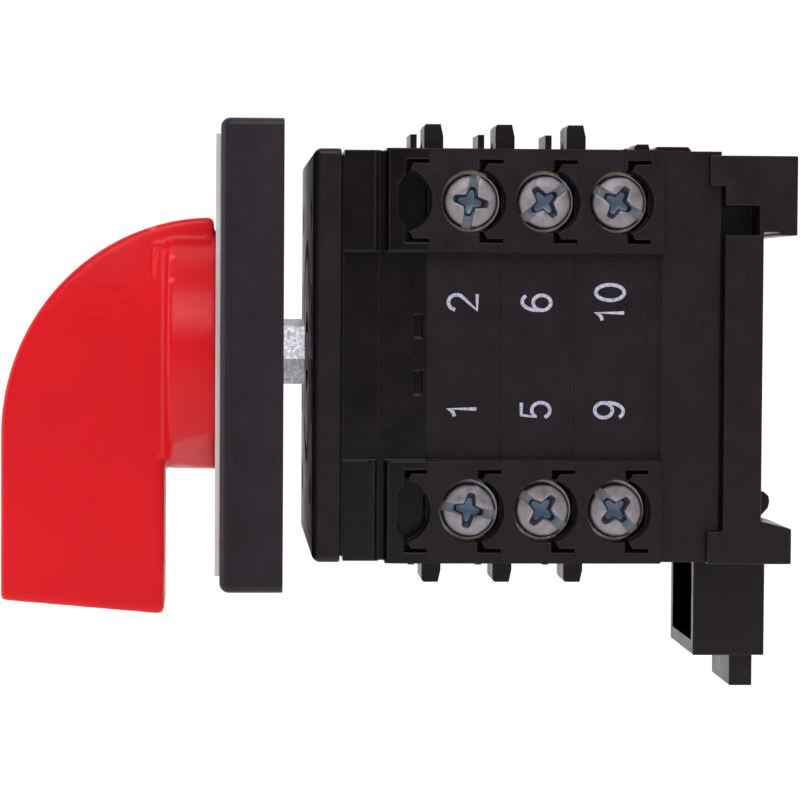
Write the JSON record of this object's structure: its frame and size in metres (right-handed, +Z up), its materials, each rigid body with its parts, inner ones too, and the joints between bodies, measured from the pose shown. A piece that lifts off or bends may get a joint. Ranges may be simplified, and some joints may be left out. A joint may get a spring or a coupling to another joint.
{
  "type": "manual transfer switch",
  "caption": "Rotary cam changeover switch with a pistol-grip handle, square front plate, stacked contact decks and a clip-on rail foot.",
  "frame": {"origin": "on the shaft axis at the panel face, the front face of the front plate", "axes": "+Y along the shaft from the handle to the rail foot, +Z up towards the fixed hook, +X to the side of terminals 1, 2, 5, 6, 9 and 10"},
  "size_m": [0.06, 0.1033, 0.0752],
  "materials": {
    "handle_red": "satin-gloss moulded",
    "housing_black": "fine moulded texture",
    "index_black": "polished moulded",
    "plate_black": "satin moulded",
    "seal_rubber": "matt",
    "legend_metal": "brushed",
    "zinc_steel": "zinc plated",
    "steel": "bright",
    "spring_steel": "drawn wire",
    "brass": "stamped",
    "cam_plastic": "natural"
  },
  "bodies": {
    "switch_body": {"escutcheon_plate": "plate_black", "legend_plate": "legend_metal", "panel_seal": "seal_rubber", "front_plate": "housing_black", "index_housing": "index_black", "detent_rollers": "steel", "detent_springs": "spring_steel", "deck_1_housing": "housing_black", "deck_1_terminal_screws": "zinc_steel", "deck_1_clamp_washers": "zinc_steel", "deck_1_terminal_strips": "brass", "deck_1_contact_springs": "spring_steel", "deck_2_housing": "housing_black", "deck_2_terminal_screws": "zinc_steel", "deck_2_clamp_washers": "zinc_steel", "deck_2_terminal_strips": "brass", "deck_2_contact_springs": "spring_steel", "deck_3_housing": "housing_black", "deck_3_terminal_screws": "zinc_steel", "deck_3_clamp_washers": "zinc_steel", "deck_3_terminal_strips": "brass", "deck_3_contact_springs": "spring_steel", "end_cap": "housing_black", "tie_bolts": "zinc_steel", "rail_foot": "housing_black", "foot_screws": "zinc_steel", "latch_springs": "spring_steel"},
    "rotor": {"knob": "handle_red", "knob_insert": "brass", "knob_screw": "zinc_steel", "knob_screw_cap": "handle_red", "shaft": "steel", "shaft_nut": "zinc_steel", "star_wheel": "cam_plastic", "deck_1_cam": "cam_plastic", "deck_2_cam": "cam_plastic", "deck_3_cam": "cam_plastic"},
    "contact_1_near": {"deck_1_plunger_near": "cam_plastic", "deck_1_bridge_near": "brass"},
    "contact_1_far": {"deck_1_plunger_far": "cam_plastic", "deck_1_bridge_far": "brass"},
    "contact_2_near": {"deck_2_plunger_near": "cam_plastic", "deck_2_bridge_near": "brass"},
    "contact_2_far": {"deck_2_plunger_far": "cam_plastic", "deck_2_bridge_far": "brass"},
    "contact_3_near": {"deck_3_plunger_near": "cam_plastic", "deck_3_bridge_near": "brass"},
    "contact_3_far": {"deck_3_plunger_far": "cam_plastic", "deck_3_bridge_far": "brass"},
    "latch": {"rail_latch": "housing_black"}
  },
  "joints": [
    {"name": "handle_turn", "type": "hinge", "parent": "switch_body", "child": "rotor", "pos_m": [0, 0, 0], "axis": [0, 1, 0], "range_deg": [-60, 60]},
    {"name": "contact_1_near_slide", "type": "slide", "parent": "switch_body", "child": "contact_1_near", "axis": [1, 0, 0], "range_m": [-0.0012, 0.0012], "deforming": ["deck_1_contact_springs"]},
    {"name": "contact_1_far_slide", "type": "slide", "parent": "switch_body", "child": "contact_1_far", "axis": [1, 0, 0], "range_m": [-0.0012, 0.0012]},
    {"name": "contact_2_near_slide", "type": "slide", "parent": "switch_body", "child": "contact_2_near", "axis": [1, 0, 0], "range_m": [-0.0012, 0.0012], "deforming": ["deck_2_contact_springs"]},
    {"name": "contact_2_far_slide", "type": "slide", "parent": "switch_body", "child": "contact_2_far", "axis": [1, 0, 0], "range_m": [-0.0012, 0.0012]},
    {"name": "contact_3_near_slide", "type": "slide", "parent": "switch_body", "child": "contact_3_near", "axis": [1, 0, 0], "range_m": [-0.0012, 0.0012], "deforming": ["deck_3_contact_springs"]},
    {"name": "contact_3_far_slide", "type": "slide", "parent": "switch_body", "child": "contact_3_far", "axis": [1, 0, 0], "range_m": [-0.0012, 0.0012]},
    {"name": "latch_release", "type": "slide", "parent": "switch_body", "child": "latch", "axis": [0, 0, -1], "range_m": [0, 0.0035], "stiffness_N_per_m": 1500, "springref_m": -0.001, "deforming": ["latch_springs"]}
  ],
  "couplings": [
    {"joint": "contact_1_near_slide", "follows": "handle_turn", "m_per_rad": 0.001146},
    {"joint": "contact_1_far_slide", "follows": "handle_turn", "m_per_rad": 0.001146},
    {"joint": "contact_2_near_slide", "follows": "handle_turn", "m_per_rad": 0.001146},
    {"joint": "contact_2_far_slide", "follows": "handle_turn", "m_per_rad": 0.001146},
    {"joint": "contact_3_near_slide", "follows": "handle_turn", "m_per_rad": 0.001146},
    {"joint": "contact_3_far_slide", "follows": "handle_turn", "m_per_rad": 0.001146}
  ]
}
